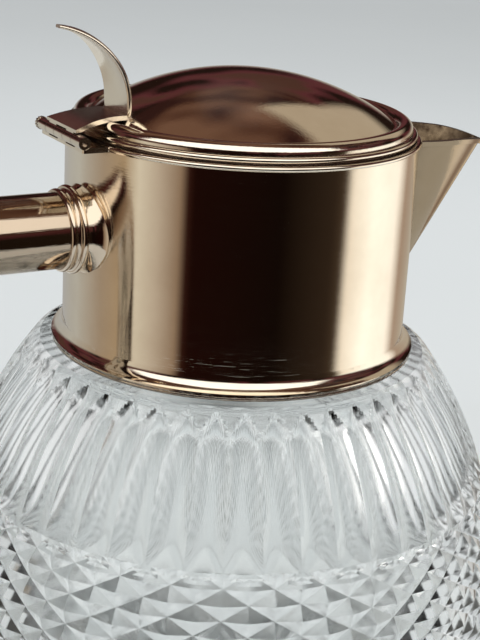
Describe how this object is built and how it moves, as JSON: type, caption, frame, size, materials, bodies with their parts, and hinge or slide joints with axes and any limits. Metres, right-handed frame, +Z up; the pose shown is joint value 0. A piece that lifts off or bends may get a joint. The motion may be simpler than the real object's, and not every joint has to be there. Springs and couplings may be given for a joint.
{
  "type": "lidded glass pitcher",
  "caption": "Cut-glass pitcher with a silver-plated collar, V-shaped spout, free-hanging tube handle and a domed lid that hinges open by a horn-shaped thumb lever.",
  "frame": {"origin": "on the jug's axis, in the plane that its base stands on", "axes": "+Z up along the jug's axis; -X towards the handle and the lid's hinge; the hinge pin runs along Y; the spout points 22 degrees from +X towards -Y"},
  "size_m": [0.2074, 0.1628, 0.2372],
  "materials": {
    "cut_glass": "polished",
    "silver_plate": "polished",
    "hinge_pin": "satin",
    "plaster": "matte"
  },
  "bodies": {
    "jug": {"glass_body": "cut_glass", "plaster_ring": "plaster", "collar_foot_ring": "silver_plate", "collar": "silver_plate", "collar_rim_bead": "silver_plate", "spout": "silver_plate", "spout_lip_wire": "silver_plate", "hinge_bracket": "silver_plate", "collar_knuckle_1": "silver_plate", "collar_knuckle_3": "silver_plate", "collar_knuckle_5": "silver_plate", "hinge_pin": "hinge_pin", "hinge_pin_head": "silver_plate", "handle_socket": "silver_plate", "handle_ferrule": "silver_plate", "handle_tube": "silver_plate", "handle_end_cap": "silver_plate"},
    "lid": {"lid_dome": "silver_plate", "lid_moulding": "silver_plate", "lid_rim_wire": "silver_plate", "lid_bezel": "silver_plate", "thumb_lever": "silver_plate", "lid_knuckle_2": "silver_plate", "lid_knuckle_4": "silver_plate"}
  },
  "joints": [
    {"name": "lid_hinge", "type": "hinge", "parent": "jug", "child": "lid", "pos_m": [-0.053, 0, 0.2098], "axis": [0, -1, 0], "range_deg": [0, 100]}
  ]
}
